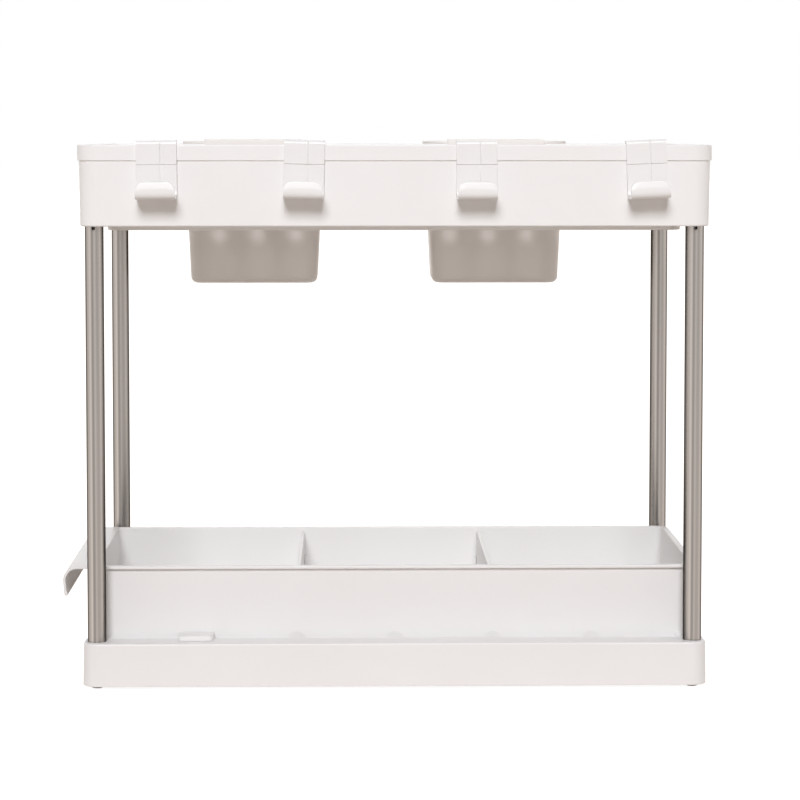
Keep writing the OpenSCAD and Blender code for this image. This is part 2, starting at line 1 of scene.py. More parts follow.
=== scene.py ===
"""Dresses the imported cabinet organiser: moulded trays, hooks and cups on brushed steel tubes.

Every shape is worked out in millimetres about the middle of the trays, and takes its place in the
part's own frame when its mesh is made. An outline is a list of corners (x, y, radius), and a
profile is a list of corners (distance out, height, radius). Each corner is rounded by its radius.
"""

import bmesh
import bpy
import numpy as np
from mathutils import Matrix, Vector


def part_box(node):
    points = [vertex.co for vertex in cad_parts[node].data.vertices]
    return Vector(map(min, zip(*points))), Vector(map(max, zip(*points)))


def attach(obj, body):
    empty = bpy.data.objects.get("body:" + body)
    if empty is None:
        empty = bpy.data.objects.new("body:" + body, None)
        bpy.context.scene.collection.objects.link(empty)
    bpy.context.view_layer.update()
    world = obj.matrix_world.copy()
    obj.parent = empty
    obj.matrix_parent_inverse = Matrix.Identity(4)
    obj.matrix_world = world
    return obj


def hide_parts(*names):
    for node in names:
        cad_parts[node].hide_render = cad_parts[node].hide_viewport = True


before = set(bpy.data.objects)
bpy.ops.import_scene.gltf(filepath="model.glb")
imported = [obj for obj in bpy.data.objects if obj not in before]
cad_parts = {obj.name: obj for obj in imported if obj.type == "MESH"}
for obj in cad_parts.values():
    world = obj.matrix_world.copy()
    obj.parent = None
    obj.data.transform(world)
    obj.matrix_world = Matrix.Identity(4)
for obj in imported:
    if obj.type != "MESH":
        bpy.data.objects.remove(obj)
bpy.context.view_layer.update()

MM = 0.001
TRAY_LOW, TRAY_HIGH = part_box("top_tray")
MIDDLE = np.array([(TRAY_LOW.x + TRAY_HIGH.x) / 2, (TRAY_LOW.y + TRAY_HIGH.y) / 2, 0.0])
CORNERS = [(sx, sy) for sx in (-1, 1) for sy in (-1, 1)]

# Heights above the floor
SHELL_Z = 2.4
DECK_Z = 30.3
DRAWER_Z = 27.1
TRAY_Z = 299.3
RIM_Z = 351.4
CUP_Z = 250.5

# Legs, which the posts of the base and the sockets of the tray take up
LEG_X, LEG_Y = 193.1, 100.0
POST_R = 8.48


# ---------------------------------------------------------------- outlines

TINY = 1e-12
EDGE_STEPS = 4


def unit(v):
    """Vectors along the last axis, each divided by its length."""
    return v / np.maximum(np.linalg.norm(v, axis=-1, keepdims=True), TINY)


def eased(corners, steps=6, closed=True):
    """Outline through (x, y, radius) corners, each rounded by an arc that touches both its sides.

    With h half the corner's angle, the arc's centre lies on the bisector at radius / sin(h), and it
    touches the sides at radius / tan(h). Its points are the spherical blend of the two touch
    points. An open outline keeps its first and last corners as they are.
    """
    table = np.asarray(corners, float)
    spot, radius = table[:, :2], table[:, 2:]
    back = unit(np.roll(spot, 1, 0) - spot)
    ahead = unit(np.roll(spot, -1, 0) - spot)
    half = np.arccos(np.clip((back * ahead).sum(1, keepdims=True), -1, 1)) / 2
    centre = spot + unit(back + ahead) * radius / np.sin(half)
    first = spot + back * radius / np.tan(half) - centre
    last = spot + ahead * radius / np.tan(half) - centre
    turn = (np.pi - 2 * half)[:, None, :]
    t = np.linspace(0, 1, steps)[None, :, None]
    arcs = np.sin((1 - t) * turn) * first[:, None] + np.sin(t * turn) * last[:, None]
    arcs = centre[:, None] + arcs / np.sin(turn)
    if closed:
        return arcs.reshape(-1, 2)
    return np.concatenate([spot[:1], arcs[1:-1].reshape(-1, 2), spot[-1:]])


def weave(rows, cols, round_rows=False, round_cols=False):
    """Quads of a grid of points, each running along its row first and then to the next row."""
    i = np.arange(rows if round_rows else rows - 1)[:, None]
    j = np.arange(cols if round_cols else cols - 1)[None, :]
    i2, j2 = (i + 1) % rows, (j + 1) % cols
    corners = np.broadcast_arrays(i * cols + j, i * cols + j2, i2 * cols + j2, i2 * cols + j)
    return np.stack(corners, -1)


# ---------------------------------------------------------------- moulds

CREASE = 40.0
MERGE = 2e-6


def stand(name, data):
    """New object for a mesh, a lamp or a camera, linked to the scene."""
    thing = bpy.data.objects.new(name, data)
    bpy.context.scene.collection.objects.link(thing)
    return thing


def shade(mesh):
    """Smooth shading, but for edges sharper than the crease angle."""
    mesh.shade_smooth()
    mesh.set_sharp_from_angle(angle=np.radians(CREASE))


class Mould:
    """Gathers the closed shells of one piece, in millimetres, and casts them as one mesh."""

    def __init__(self):
        self.points, self.faces, self.count = [], [], 0

    def shell(self, *sheets, caps=()):
        """Adds one closed shell made of (points, quads) sheets and of caps, given as point numbers.

        The shell is turned right side out: six times its volume is the sum of the triple products
        a . (b x c) of its triangles, and that has to be positive.
        """
        points = [np.asarray(p, float).reshape(-1, 3) for p, _ in sheets]
        starts = np.cumsum([0] + [len(p) for p in points])
        quads = [np.reshape(q, (-1, 4)) + start for (_, q), start in zip(sheets, starts)]
        points, quads = np.concatenate(points), np.concatenate(quads)
        tris = [quads[:, [0, 1, 2]], quads[:, [0, 2, 3]]]
        tris += [np.stack([np.full(len(c) - 2, c[0]), c[1:-1], c[2:]], 1) for c in caps]
        a, b, c = points[np.concatenate(tris)].transpose(1, 0, 2)
        outward = np.einsum("ij,ij->", a, np.cross(b, c)) > 0
        turned = slice(None) if outward else slice(None, None, -1)
        self.faces += (quads[:, turned] + self.count).tolist()
        self.faces += [(np.asarray(cap)[turned] + self.count).tolist() for cap in caps]
        self.points.append(points)
        self.count += len(points)

    def prism(self, outline, span, edge, axis="z", stops=(), warp=None, mirror=(1, 1)):
        """Carries a closed outline along an axis. Near each end the outline is drawn in along its
        normals by edge * (1 - sin a) while it advances by edge * (1 - cos a), which eases the edge.
        The edge is smaller than the outline's outer radii, and the stops lie between the edges."""
        ahead = np.roll(outline, -1, 0)
        tangent = ahead - np.roll(outline, 1, 0)
        area = np.sum(outline[:, 0] * ahead[:, 1] - outline[:, 1] * ahead[:, 0])
        normal = unit(np.stack([tangent[:, 1], -tangent[:, 0]], 1)) * np.sign(area)
        a = np.linspace(0, np.pi / 2, EDGE_STEPS)
        ease_in, ease_on = edge * (1 - np.sin(a)), edge * (1 - np.cos(a))
        at = np.concatenate([span[0] + ease_on, stops, (span[1] - ease_on)[::-1]])
        inset = np.concatenate([ease_in, np.zeros(len(stops)), ease_in[::-1]])
        flat = (outline - normal * inset[:, None, None]) * np.asarray(mirror)
        along = np.broadcast_to(at[:, None], flat.shape[:2])
        u, v = flat[..., 0], flat[..., 1]
        points = np.stack({"x": (along, u, v), "y": (u, along, v), "z": (u, v, along)}[axis], -1)
        if warp:
            points = warp(points)
        rows, cols = points.shape[:2]
        first = np.arange(cols)[::-1]
        last = np.arange(cols) + (rows - 1) * cols
        self.shell((points, weave(rows, cols, round_cols=True)), caps=(first, last))

    def block(self, low, high, edge):
        """Box between two corners with eased edges."""
        (x0, y0, z0), (x1, y1, z1) = low, high
        corners = [(x0, y0, edge), (x1, y0, edge), (x1, y1, edge), (x0, y1, edge)]
        self.prism(eased(corners, EDGE_STEPS), (z0, z1), edge)

    def turned(self, profile, centre, sides):
        """Spins (radius, height) points round an upright axis: x and y are the centre's plus the
        radius times the cosine and the sine of the angle."""
        angle = np.arange(sides) * 2 * np.pi / sides
        r, z = np.asarray(profile, float).T
        x = centre[0] + r[:, None] * np.cos(angle)
        y = centre[1] + r[:, None] * np.sin(angle)
        points = np.stack([x, y, np.broadcast_to(z[:, None], x.shape)], -1)
        self.shell((points, weave(len(r), sides, round_cols=True)))

    def shift(self, *way):
        """Moves all that the mould holds so far."""
        self.points = [p + way for p in self.points]

    def cast(self, name):
        """Makes the piece's mesh, with its doubles merged, in metres and in its place."""
        mesh = bpy.data.meshes.new(name)
        mesh.from_pydata((np.concatenate(self.points) * MM + MIDDLE).tolist(), [], self.faces)
        shape = bmesh.new()
        shape.from_mesh(mesh)
        bmesh.ops.remove_doubles(shape, verts=shape.verts, dist=MERGE)
        shape.to_mesh(mesh)
        shape.free()
        shade(mesh)
        piece = stand(name, mesh)
        weighted = piece.modifiers.new("even shading", "WEIGHTED_NORMAL")
        weighted.keep_sharp = True
        return piece


def rim_path(half, along_x, along_y, bend):
    """Path round a rectangle of corner centres, anticlockwise seen from above, as (centres, outward
    unit vectors). The straight sides stop at the fractions along_x and along_y of half a side, and
    each corner turns a quarter of a circle in `bend` steps."""
    turn = np.linspace(0, np.pi / 2, bend + 1)[1:-1]
    tx, ty = np.asarray(along_x), np.asarray(along_y)
    one = np.ones_like
    x = [one(ty), one(turn), tx[::-1], -one(turn), -one(ty), -one(turn), tx, one(turn)]
    y = [ty, one(turn), one(tx), one(turn), ty[::-1], -one(turn), -one(tx), -one(turn)]
    within = [0 * ty, turn, 0 * tx, turn, 0 * ty, turn, 0 * tx, turn]
    angle = np.concatenate([w + np.pi / 2 * (k // 2) for k, w in enumerate(within)])
    centres = np.stack([np.concatenate(x) * half[0], np.concatenate(y) * half[1]], 1)
    return centres, np.stack([np.cos(angle), np.sin(angle)], 1)


def sweep(profile, path):
    """Carries (distance out, height) points round a path: one row for each point, which stands at
    the path's centres plus the outward vectors times its distance out."""
    centres, outward = path
    r, z = np.asarray(profile, float).T
    flat = centres + outward * r[:, None, None]
    return np.concatenate([flat, np.broadcast_to(z[:, None, None], flat.shape[:2] + (1,))], -1)


def plate(half, along_x, along_y, z):
    """Flat grid of points over a rectangle, one row for each stop along y."""
    x, y = np.meshgrid(np.asarray(along_x) * half[0], np.asarray(along_y) * half[1])
    return np.stack([x, y, np.full_like(x, z)], -1)


def open_box(mould, half, profile, along_x=(-1, 0, 1), along_y=(-1, 0, 1), bend=10, reshape=None):
    """Tray shell: a profile swept round the corner centres, from the middle of the underside out,
    up, over the rim, down and back to the middle of the floor, and a flat grid for each of those.
    `reshape` moves the points of the wall (low is None), the underside (True) and the floor."""
    reshape = reshape or (lambda points, low: points)
    wall = sweep(profile, rim_path(half, along_x, along_y, bend))
    under = plate(half, along_x, along_y, profile[0][1])
    floor = plate(half, along_x, along_y, profile[-1][1])
    wall, under, floor = reshape(wall, None), reshape(under, True), reshape(floor, False)
    grid = weave(*floor.shape[:2])
    around = weave(*wall.shape[:2], round_cols=True)
    mould.shell((wall, around), (under, grid[..., ::-1]), (floor, grid))


# ---------------------------------------------------------------- finishes

# Painted reflection: the tube's colour round it, from its left side over the front to its right
# side, with dark painted edges and light painted bands for what the steel reflects
PAINTED_REFLECTION_TONES = [
    (0.0, 0.067), (0.137, 0.1), (0.195, 0.212), (0.241, 0.315), (0.28, 0.31), (0.35, 0.425),
    (0.382, 0.445), (0.412, 0.296), (0.442, 0.216), (0.471, 0.235), (0.5, 0.306), (0.529, 0.345),
    (0.588, 0.284), (0.618, 0.278), (0.684, 0.318), (0.72, 0.377), (0.759, 0.34), (0.805, 0.213),
    (0.863, 0.1), (1.0, 0.04),
]
STEEL_WARMTH = (1.056, 0.985, 0.927)
PLASTIC_CLOUD = (0.988, 0.985, 0.982)
PLASTIC_IOR = 1.49

# Colour sockets of a mix node
MIX_A, MIX_B, MIX_RESULT = 6, 7, 2


def finish_nodes(name):
    """New node material: the material, its tree, its shader, the piece's own coordinates, and a
    helper that adds a node and fills its inputs with links or numbers."""
    material = bpy.data.materials.new(name)
    material.use_nodes = True
    tree = material.node_tree
    shader = tree.nodes["Principled BSDF"]
    place = tree.nodes.new("ShaderNodeTexCoord").outputs["Object"]

    def add(kind, **inputs):
        node = tree.nodes.new("ShaderNode" + kind)
        for key, value in inputs.items():
            socket = node.inputs[key.replace("_", " ")]
            if isinstance(value, bpy.types.NodeSocket):
                tree.links.new(value, socket)
            else:
                socket.default_value = value
        return node

    return material, tree, shader, place, add


def ramp(tree, source, stops):
    """Colour ramp fed by a value: stops are (position, colour)."""
    node = tree.nodes.new("ShaderNodeValToRGB")
    tree.links.new(source, node.inputs["Fac"])
    band = node.color_ramp
    while len(band.elements) < len(stops):
        band.elements.new(0.5)
    for element, (position, colour) in zip(band.elements, stops):
        element.position = position
        element.color = (*colour, 1)
    return node.outputs["Color"]


def moulded_plastic(name, colour, gloss=0.38):
    """Injection-moulded plastic: cloudy shifts of tone, a fine orange-peel skin and faint handling
    marks that break up the gloss."""
    material, tree, shader, place, add = finish_nodes(name)
    cloud = add("TexNoise", Vector=place, Scale=14.0, Detail=3.0, Roughness=0.55)
    dim = [c * d for c, d in zip(colour, PLASTIC_CLOUD)]
    tone = ramp(tree, cloud.outputs["Fac"], [(0.35, dim), (0.62, colour)])
    tree.links.new(tone, shader.inputs["Base Color"])
    marks = add("TexNoise", Vector=place, Scale=55.0, Detail=6.0, Roughness=0.7)
    rough = add("MapRange", Value=marks.outputs["Fac"], From_Min=0.3, From_Max=0.7,
                To_Min=gloss - 0.02, To_Max=gloss + 0.03)
    tree.links.new(rough.outputs["Result"], shader.inputs["Roughness"])
    peel = add("TexNoise", Vector=place, Scale=620.0, Detail=2.0)
    bump = add("Bump", Height=peel.outputs["Fac"], Strength=0.05, Distance=0.0006)
    tree.links.new(bump.outputs["Normal"], shader.inputs["Normal"])
    shader.inputs["IOR"].default_value = PLASTIC_IOR
    return material


def steel(tone):
    """Warm grey of a given strength."""
    return tuple(tone * warmth for warmth in STEEL_WARMTH)


def brushed_tube_with_painted_reflections(name):
    """Drawn and brushed steel: fine hairs that run with the tube, over broad bands of painted
    reflection round it, dark at the sides. The piece's UV map has the way round in U, from the
    left over the front, and the height in V. The painted bands repeat mirrored at the back,
    because U is folded at a half turn."""
    material, tree, shader, place, add = finish_nodes(name)
    around = add("UVMap")
    stretched = add("Mapping", Vector=around.outputs["UV"], Scale=(90.0, 4.0, 1.0))
    hair = add("TexNoise", Vector=stretched.outputs["Vector"], Scale=1.0, Detail=6.0,
               Roughness=0.65)
    apart = add("SeparateXYZ", Vector=around.outputs["UV"])
    wander = add("MapRange", Value=hair.outputs["Fac"], To_Min=-0.01, To_Max=0.01)
    moved = add("Math")
    tree.links.new(apart.outputs["X"], moved.inputs[0])
    tree.links.new(wander.outputs["Result"], moved.inputs[1])
    folded = add("Math")
    folded.operation = "PINGPONG"
    tree.links.new(moved.outputs["Value"], folded.inputs[0])
    folded.inputs[1].default_value = 0.5
    # painted reflection: light and dark bands round the tube, put into its base colour
    painted_reflection_bands = ramp(tree, folded.outputs["Value"], [(t / 2, steel(v)) for t, v in PAINTED_REFLECTION_TONES])
    streak = ramp(tree, hair.outputs["Fac"], [(0.3, (0.86, 0.855, 0.85)), (0.7, (1.0, 1.0, 1.0))])
    mix = add("Mix")
    mix.data_type, mix.blend_type = "RGBA", "MULTIPLY"
    mix.inputs["Factor"].default_value = 1.0
    tree.links.new(painted_reflection_bands, mix.inputs[MIX_A])
    tree.links.new(streak, mix.inputs[MIX_B])
    tree.links.new(mix.outputs[MIX_RESULT], shader.inputs["Base Color"])
    shader.inputs["Metallic"].default_value = 1.0
    shader.inputs["Specular Tint"].default_value = (0.42, 0.4, 0.38, 1)
    rough = add("MapRange", Value=hair.outputs["Fac"], To_Min=0.24, To_Max=0.36)
    tree.links.new(rough.outputs["Result"], shader.inputs["Roughness"])
    bump = add("Bump", Height=hair.outputs["Fac"], Strength=0.06, Distance=0.0002)
    tree.links.new(bump.outputs["Normal"], shader.inputs["Normal"])
    return material


def soft_pad(name, colour):
    """Matt foot pad with a fine grain and a slightly soiled tone."""
    material, tree, shader, place, add = finish_nodes(name)
    speck = add("TexNoise", Vector=place, Scale=380.0, Detail=4.0)
    dim = [c * 0.86 for c in colour]
    tone = ramp(tree, speck.outputs["Fac"], [(0.35, dim), (0.6, colour)])
    tree.links.new(tone, shader.inputs["Base Color"])
    bump = add("Bump", Height=speck.outputs["Fac"], Strength=0.15, Distance=0.0003)
    tree.links.new(bump.outputs["Normal"], shader.inputs["Normal"])
    shader.inputs["Roughness"].default_value = 0.7
    return material


tray_plastic = moulded_plastic("tray_plastic", (0.9, 0.893, 0.888))
base_plastic = moulded_plastic("base_plastic", (0.822, 0.808, 0.806))
drawer_plastic = moulded_plastic("drawer_plastic", (0.81, 0.8, 0.793))
# painted shade: the cups' plastic is darker and warmer than the tray's, for the shade the tray
# casts on them
painted_shade_cup_plastic = moulded_plastic("painted_shade_cup_plastic", (0.86, 0.825, 0.79))
hook_plastic = moulded_plastic("hook_plastic", (0.885, 0.878, 0.873), gloss=0.3)
tube_steel = brushed_tube_with_painted_reflections("tube_steel")
pad_rubber = soft_pad("pad_rubber", (0.78, 0.77, 0.75))


def hand_over(piece, material, body, node):
    """Gives a finished piece its material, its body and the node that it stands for."""
    piece.data.materials.append(material)
    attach(piece, body)
    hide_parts(node)


# ---------------------------------------------------------------- base

# Heights in the base are over the lower edge of its shell
BASE_HALF = (192.1, 101.5)
ROOF, ROOF_EDGE = 25.3, 0.5
DECK, DECK_EDGE = 27.9, 1.2
BASE_PROFILE = [
    (0, ROOF, 0), (7.0, ROOF, ROOF_EDGE), (7.6, 0, 0.3), (10.0, 0, 0.3), (9.4, DECK, DECK_EDGE),
    (0, DECK, 0),
]

# The sunk channel, half its width, its depth and its closed end, half the width of the pan under
# it, and the distance in which the deck steps down
CHANNEL_HALF, CHANNEL_DEEP, CHANNEL_END = 90.05, 3.2, 195.3
PAN_HALF = 92.45
STEP = 0.1

RIB_X = np.arange(-2, 3) * 66.0
RIB_HALF, RIB_REACH, RIB_LOW, RIB_HIGH, RIB_EDGE = 0.9, 109.6, 4.0, 23.0, 0.3
POST_PROFILE = [(0, 0.05), (POST_R - 0.4, 0.05), (POST_R, 0.5), (POST_R, 26), (0, 26)]
BOSS_PROFILE = [(0, 17.3), (4.4, 17.3), (4.4, 26), (0, 26)]
CLIP_X, CLIP_PEG_Y = -129.4, 96.0


def base_piece():
    """Base shell with the sunk channel: swept walls and a deck that is lowered by the channel's
    depth over the channel and the pan under it, with cross ribs, leg posts and peg bosses."""
    base = Mould()
    end = CHANNEL_END - BASE_HALF[0]
    profile = eased(BASE_PROFILE, closed=False)
    profile = np.concatenate([profile[:-1], [(end + STEP, DECK), (end, DECK), (0, DECK)]])
    r, z = profile.T
    rim = z > DECK - DECK_EDGE - STEP
    deck = (z > DECK - STEP) & (r < end + STEP / 2)
    roof = (z > ROOF - ROOF_EDGE - STEP) & (z < ROOF + STEP)
    sides = [CHANNEL_HALF - STEP, CHANNEL_HALF + STEP, PAN_HALF - STEP, PAN_HALF + STEP]
    sides = np.array(sides) / BASE_HALF[1]
    along_y = np.concatenate([[-1], -sides[::-1], [0], sides, [1]])

    def sink(points, low):
        """Lowers what lies in the channel, which is open at its left end, and the pan under it."""
        x, y = points[..., 0], points[..., 1]
        in_channel, over_pan = abs(y) < CHANNEL_HALF, abs(y) < PAN_HALF
        if low is None:
            sunk = in_channel & np.where(x < 0, rim[:, None], deck[:, None])
            sunk = sunk | over_pan & roof[:, None]
        else:
            sunk = over_pan if low else in_channel
        return points - sunk[..., None] * np.array([0, 0, CHANNEL_DEEP])

    open_box(base, BASE_HALF, profile, along_y=along_y, reshape=sink)
    for x in RIB_X:
        low, high = (x - RIB_HALF, -RIB_REACH, RIB_LOW), (x + RIB_HALF, RIB_REACH, RIB_HIGH)
        base.block(low, high, RIB_EDGE)
    for sx, sy in CORNERS:
        base.turned(POST_PROFILE, (sx * LEG_X, sy * LEG_Y), 32)
    for sy in (-1, 1):
        base.turned(BOSS_PROFILE, (CLIP_X, sy * CLIP_PEG_Y), 24)
    base.shift(0, 0, SHELL_Z)
    return base.cast("base_shell")


hand_over(base_piece(), base_plastic, "frame", "base_tray")


# ---------------------------------------------------------------- feet and legs

FOOT_PROFILE = [
    (0, 0, 0), (3.6, 0, 0.9), (4.1, 2.4, 0.1), (2.0, 2.4, 0.1), (2.0, 5.9, 0.2), (0, 5.9, 0),
]

LEG_R, LEG_WALL = 6.0, 0.8
LEG_FOOT, LEG_TOP = 12.3, 321.3
SLOT_FOOT, SLOT_HALF = 297.3, 1.1
SLOT_STEPS, ROUND_STEPS = 4, 60
LEG_STOPS = [LEG_FOOT, LEG_FOOT + 1, 60, 120, 180, 240, SLOT_FOOT - 0.8, SLOT_FOOT, LEG_TOP]


def foot_piece(name, sx, sy):
    """Foot pad with its peg: a spun profile with a rounded lower edge."""
    foot = Mould()
    foot.turned(eased(FOOT_PROFILE, closed=False), (sx * LEG_X, sy * LEG_Y), 40)
    return foot.cast(name)


def leg_piece(name, sx, sy):
    """Tube: an outer sheet over angle and height, left open over the key slot and given its wall.

    x and y are the leg's place plus the radius times the cosine and the sine of the angle. In the
    UV map, U is the angle from the left as a share of a turn, and V the height in metres.
    """
    gap = np.arcsin(SLOT_HALF / LEG_R)
    over_slot = np.linspace(-gap, gap, SLOT_STEPS + 1)[:-1]
    beside_slot = np.linspace(gap, 2 * np.pi - gap, ROUND_STEPS + 1)[:-1]
    way = np.concatenate([over_slot, beside_slot]) + sy * np.pi / 2
    height = np.array(LEG_STOPS)
    rows, cols = len(height), len(way)
    x = np.tile(sx * LEG_X + LEG_R * np.cos(way), (rows, 1))
    y = np.tile(sy * LEG_Y + LEG_R * np.sin(way), (rows, 1))
    points = np.stack([x, y, np.repeat(height[:, None], cols, 1)], -1).reshape(-1, 3)
    quads = weave(rows, cols, round_cols=True)
    kept = np.ones(quads.shape[:2], bool)
    kept[height[:-1] >= SLOT_FOOT, :SLOT_STEPS] = False
    mesh = bpy.data.meshes.new(name)
    mesh.from_pydata((points * MM + MIDDLE).tolist(), [], quads[kept].tolist())
    spots = np.zeros(len(mesh.loops), np.int32)
    mesh.loops.foreach_get("vertex_index", spots)
    fraction = (way - np.pi) / (2 * np.pi) % 1
    u = fraction[spots % cols].reshape(-1, 4)
    u = np.where((u.max(1, keepdims=True) - u) > 0.5, u + 1, u)
    uv = np.stack([u.ravel(), points[spots, 2] * MM], 1)
    layer = mesh.uv_layers.new(name="around")
    layer.uv.foreach_set("vector", uv.astype(np.float32).ravel())
    shade(mesh)
    piece = stand(name, mesh)
    wall = piece.modifiers.new("tube wall", "SOLIDIFY")
    wall.thickness, wall.offset = LEG_WALL * MM, -1.0
    piece.modifiers.new("even shading", "WEIGHTED_NORMAL")
    return piece


for depth, sy in (("front", -1), ("back", 1)):
    for side, sx in (("left", -1), ("right", 1)):
        foot = foot_piece(f"foot_pad_{depth}_{side}", sx, sy)
        hand_over(foot, pad_rubber, "frame", f"foot_{depth}_{side}")
        leg = leg_piece(f"leg_tube_{depth}_{side}", sx, sy)
        hand_over(leg, tube_steel, "frame", f"leg_{depth}_{side}")


# ---------------------------------------------------------------- upper tray

# Heights in the tray are over its underside
TRAY_HALF = (190.6, 102.0)
TRAY_FLOOR = 2.4
TRAY_PROFILE = [
    (3.0, 0, 0), (11.2, 0, 1.2), (11.846, 42.1, 0.3), (12.8, 42.1, 0.3), (12.8, 52.1, 0.8),
    (9.6, 52.1, 0.8), (8.8, TRAY_FLOOR, 1.6), (3.0, TRAY_FLOOR, 0),
]
TRAY_BEND = 12

FLOOR_HALF = (193.5, 105.5)
HOLE_R, HOLE_EDGE, HOLE_PITCH = 5.0, 0.35, 27.8
HOLE_COLS, HOLE_ROWS = 12, 8
HOLE_STEPS = 6

RING_HALF = (176.4, 80.4)
RING_PROFILE = [(9.6, 0.5, 0.1), (7.2, 0.5, 0.1), (7.2, -3.1, 0.5), (9.6, -3.1, 0.5)]
SOCKET_IN = (LEG_X - POST_R, LEG_Y - POST_R)
SOCKET_OUT = (200.4, 111.8)
SOCKET_OUTLINE = [
    (SOCKET_IN[0], SOCKET_IN[1], POST_R), (SOCKET_OUT[0], SOCKET_IN[1], 1.0),
    (SOCKET_OUT[0], SOCKET_OUT[1], 8.0), (SOCKET_IN[0], SOCKET_OUT[1], 1.0),
]
SOCKET_SPAN, SOCKET_EDGE = (1.2, 25.6), 0.8


def drained_floor(along_y):
    """Tray floor with its drain holes. Each hole stands in a rectangular cell. Its rings run from
    the cell's border to the hole's upper edge, down the hole and out to the border underneath, and
    a point's way round is the same on each ring. Strips fill the floor at both ends."""
    hole_x = (np.arange(HOLE_COLS) - (HOLE_COLS - 1) / 2) * HOLE_PITCH
    hole_y = (np.arange(HOLE_ROWS) - (HOLE_ROWS - 1) / 2) * HOLE_PITCH
    cx, cy = [g.ravel() for g in np.meshgrid(hole_x, hole_y)]
    half = HOLE_PITCH / 2
    low_y = np.where(cy == hole_y[0], -FLOOR_HALF[1], cy - half)
    high_y = np.where(cy == hole_y[-1], FLOOR_HALF[1], cy + half)
    t = np.arange(HOLE_STEPS) / HOLE_STEPS
    one, zero = np.ones_like(t), np.zeros_like(t)
    u = np.concatenate([t, one, 1 - t, zero])
    v = np.concatenate([zero, t, one, 1 - t])
    border_x = (cx - half)[:, None] + u * 2 * half
    border_y = low_y[:, None] + v * (high_y - low_y)[:, None]
    angle = np.radians(-135) + np.arange(4 * HOLE_STEPS) * np.pi / 2 / HOLE_STEPS
    rings = []
    top, wide = TRAY_FLOOR, HOLE_R + HOLE_EDGE
    for r, z in ((None, top), (wide, top), (HOLE_R, top - HOLE_EDGE), (HOLE_R, HOLE_EDGE),
                 (wide, 0), (None, 0)):
        x = border_x if r is None else cx[:, None] + r * np.cos(angle)
        y = border_y if r is None else cy[:, None] + r * np.sin(angle)
        rings.append(np.stack([x, y, np.full_like(x, z)], -1))
    cells = np.stack(rings, 1)
    count, rows, cols = cells.shape[:3]
    starts = np.arange(count) * rows * cols
    quads = weave(rows, cols, round_cols=True)[None] + starts[:, None, None, None]
    sheets = [(cells, quads)]
    stops_y = np.asarray(along_y) * FLOOR_HALF[1]
    for x0, x1 in ((-FLOOR_HALF[0], hole_x[0] - half), (hole_x[-1] + half, FLOOR_HALF[0])):
        for z, turn in ((top, 1), (0, -1)):
            x, y = np.meshgrid([x0, x1], stops_y)
            strip = np.stack([x, y, np.full_like(x, z)], -1)
            sheets.append((strip, weave(*strip.shape[:2])[..., ::turn]))
    return sheets


def tray_piece():
    """Upper tray: a swept wall with its rim band round a drained floor, a ring below and a socket
    in each corner. The wall's stops are those of the floor's cells, so that the two join."""
    tray = Mould()
    edges_x = np.arange(-HOLE_COLS // 2, HOLE_COLS // 2 + 1) * HOLE_PITCH
    edges_y = np.arange(1 - HOLE_ROWS // 2, HOLE_ROWS // 2) * HOLE_PITCH
    edges_y = np.concatenate([[-FLOOR_HALF[1]], edges_y, [FLOOR_HALF[1]]])
    t = np.arange(HOLE_STEPS) / HOLE_STEPS
    fine_x = (edges_x[:-1, None] + t * np.diff(edges_x)[:, None]).ravel()
    fine_y = (edges_y[:-1, None] + t * np.diff(edges_y)[:, None]).ravel()
    along_x = np.concatenate([[-FLOOR_HALF[0]], fine_x, [edges_x[-1], FLOOR_HALF[0]]])
    along_x = along_x / FLOOR_HALF[0]
    along_y = np.concatenate([fine_y, [FLOOR_HALF[1]]]) / FLOOR_HALF[1]
    profile = eased(TRAY_PROFILE, closed=False)[1:-1]
    inner = rim_path(FLOOR_HALF, along_x, along_y, TRAY_BEND)
    wall = np.concatenate([
        sweep([(0, 0)], inner),
        sweep(profile, rim_path(TRAY_HALF, along_x, along_y, TRAY_BEND)),
        sweep([(0, TRAY_FLOOR)], inner),
    ])
    tray.shell((wall, weave(*wall.shape[:2], round_cols=True)), *drained_floor(along_y))
    ring = sweep(eased(RING_PROFILE, 4)[::-1], rim_path(RING_HALF, (-1, 0, 1), (-1, 0, 1), 10))
    tray.shell((ring, weave(*ring.shape[:2], round_rows=True, round_cols=True)))
    socket = eased(SOCKET_OUTLINE, 8)
    for corner in CORNERS:
        tray.prism(socket, SOCKET_SPAN, SOCKET_EDGE, mirror=corner)
    tray.shift(0, 0, TRAY_Z)
    return tray.cast("upper_tray")


hand_over(tray_piece(), tray_plastic, "frame", "top_tray")


# ---------------------------------------------------------------- drawer

# Heights in the drawer are over its foot
DRAWER_HALF = (189.0, 80.25)
DRAWER_H = 50.4
WALL_OUT, WALL_LEAN = 5.8, 1.2 / DRAWER_H
SCOOP_X = np.arange(-2, 3) * 64.0
SCOOP_R, SCOOP_MID, SCOOP_SLOPE = 6.1, 0.55, 0.27
SCOOP_STOPS = np.arange(3.3, 8.1, 0.4)

# Pull handle: the bend and the end of its curl, its lip and the mouth of the drawer behind it
HANDLE_HALF, HANDLE_LIFT, HANDLE_EDGE, HANDLE_CUT = 89.85, 0.05, 0.4, 0.6
CURL_X, CURL_R, CURL_T = -206.86, 9.2, 1.8
CURL_END, CURL_DROP, BEAD_R = 185.0, 8.2, 1.3
MOUTH_X, MOUTH_HALF, MOUTH_R = -195.0, 80.25, 6.0

# Guide ribs for the dividers, runner flange and stop block of a long side: their reach in x, out
# in y and up, and their edge
DRAWER_BLOCKS = [
    ((x - 0.8, x + 0.8), (82.05, 85.2), (2.5, 30.4), 0.35) for x in (-64.5, -60.5, 60.5, 64.5)
] + [
    ((-187.8, 187.8), (85.05, 89.65), (0.02, 2.0), 0.3),
    ((184.1, 190.1), (85.05, 89.65), (0.05, 5.0), 0.4),
]


